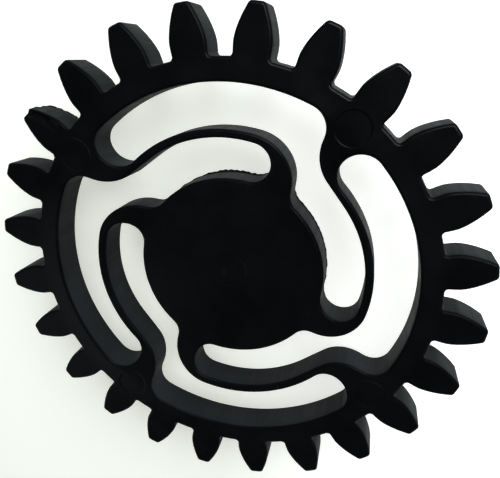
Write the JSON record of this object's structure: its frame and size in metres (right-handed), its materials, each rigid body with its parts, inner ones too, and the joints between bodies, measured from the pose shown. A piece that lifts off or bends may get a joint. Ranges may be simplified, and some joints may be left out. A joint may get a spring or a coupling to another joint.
{
  "type": "spring-web gear wheel",
  "caption": "Black moulded spur gear wheel whose toothed rim hangs on a round blind hub by S-shaped flexing arms, with a D-shaped shaft socket at the back.",
  "frame": {"origin": "on the gear axis at the mouth of the rear boss, the lowest point of the wheel", "axes": "+Z along the gear axis towards the face that is seen, +Y through the crown of tooth 1"},
  "size_m": [0.065, 0.065, 0.0115],
  "materials": {
    "black_plastic": "satin black, as moulded, with ejector pin and gate marks"
  },
  "bodies": {
    "hub": {"hub_disc": "black_plastic", "rear_boss": "black_plastic"},
    "web": {"spring_arm_1": "black_plastic", "spring_arm_2": "black_plastic", "spring_arm_3": "black_plastic", "spring_arm_4": "black_plastic"},
    "rim": {"toothed_rim": "black_plastic"}
  },
  "joints": [
    {"name": "rim_axial_give", "type": "slide", "parent": "hub", "child": "web", "axis": [0, 0, 1], "range_m": [-0.0015, 0.0015], "stiffness_N_per_m": 73000, "deforming": ["spring_arm_1", "spring_arm_2", "spring_arm_3", "spring_arm_4"]},
    {"name": "rim_wind_up", "type": "hinge", "parent": "web", "child": "rim", "pos_m": [0, 0, 0.0095], "axis": [0, 0, 1], "range_deg": [-1.5, 1.5], "stiffness_Nm_per_rad": 110, "deforming": ["spring_arm_1", "spring_arm_2", "spring_arm_3", "spring_arm_4"]}
  ]
}
